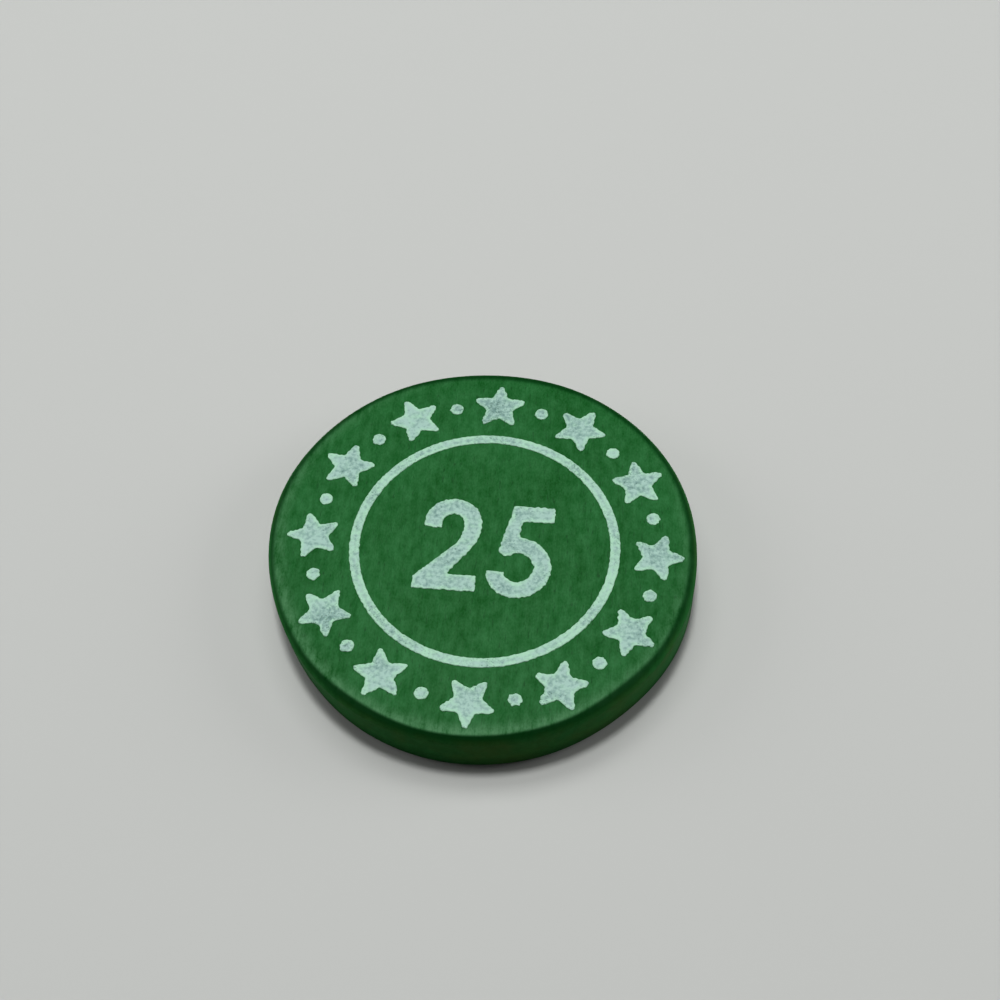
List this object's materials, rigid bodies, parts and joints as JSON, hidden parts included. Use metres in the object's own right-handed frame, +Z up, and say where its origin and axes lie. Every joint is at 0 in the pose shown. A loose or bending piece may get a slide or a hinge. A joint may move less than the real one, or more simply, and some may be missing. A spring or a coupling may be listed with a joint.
{
  "type": "game token",
  "caption": "Round flat wooden game token with eased edges, printed on one face with a number inside a plain ring and a border of stars and dots.",
  "frame": {"origin": "middle of the flat underside, on the surface that the token rests on", "axes": "+Z up out of the printed face, +Y towards the top of the number, +X to the right of the number"},
  "size_m": [0.03, 0.03, 0.004],
  "materials": {
    "stained_wood": "green stained, satin",
    "print_ink": "pale green-white printing ink, slightly worn"
  },
  "bodies": {
    "root": {"disc": "stained_wood", "ring": "print_ink", "digit_two": "print_ink", "digit_five": "print_ink", "star_1": "print_ink", "star_2": "print_ink", "star_3": "print_ink", "star_4": "print_ink", "star_5": "print_ink", "star_6": "print_ink", "star_7": "print_ink", "star_8": "print_ink", "star_9": "print_ink", "star_10": "print_ink", "star_11": "print_ink", "star_12": "print_ink", "dot_1": "print_ink", "dot_2": "print_ink", "dot_3": "print_ink", "dot_4": "print_ink", "dot_5": "print_ink", "dot_6": "print_ink", "dot_7": "print_ink", "dot_8": "print_ink", "dot_9": "print_ink", "dot_10": "print_ink", "dot_11": "print_ink", "dot_12": "print_ink"}
  },
  "joints": []
}
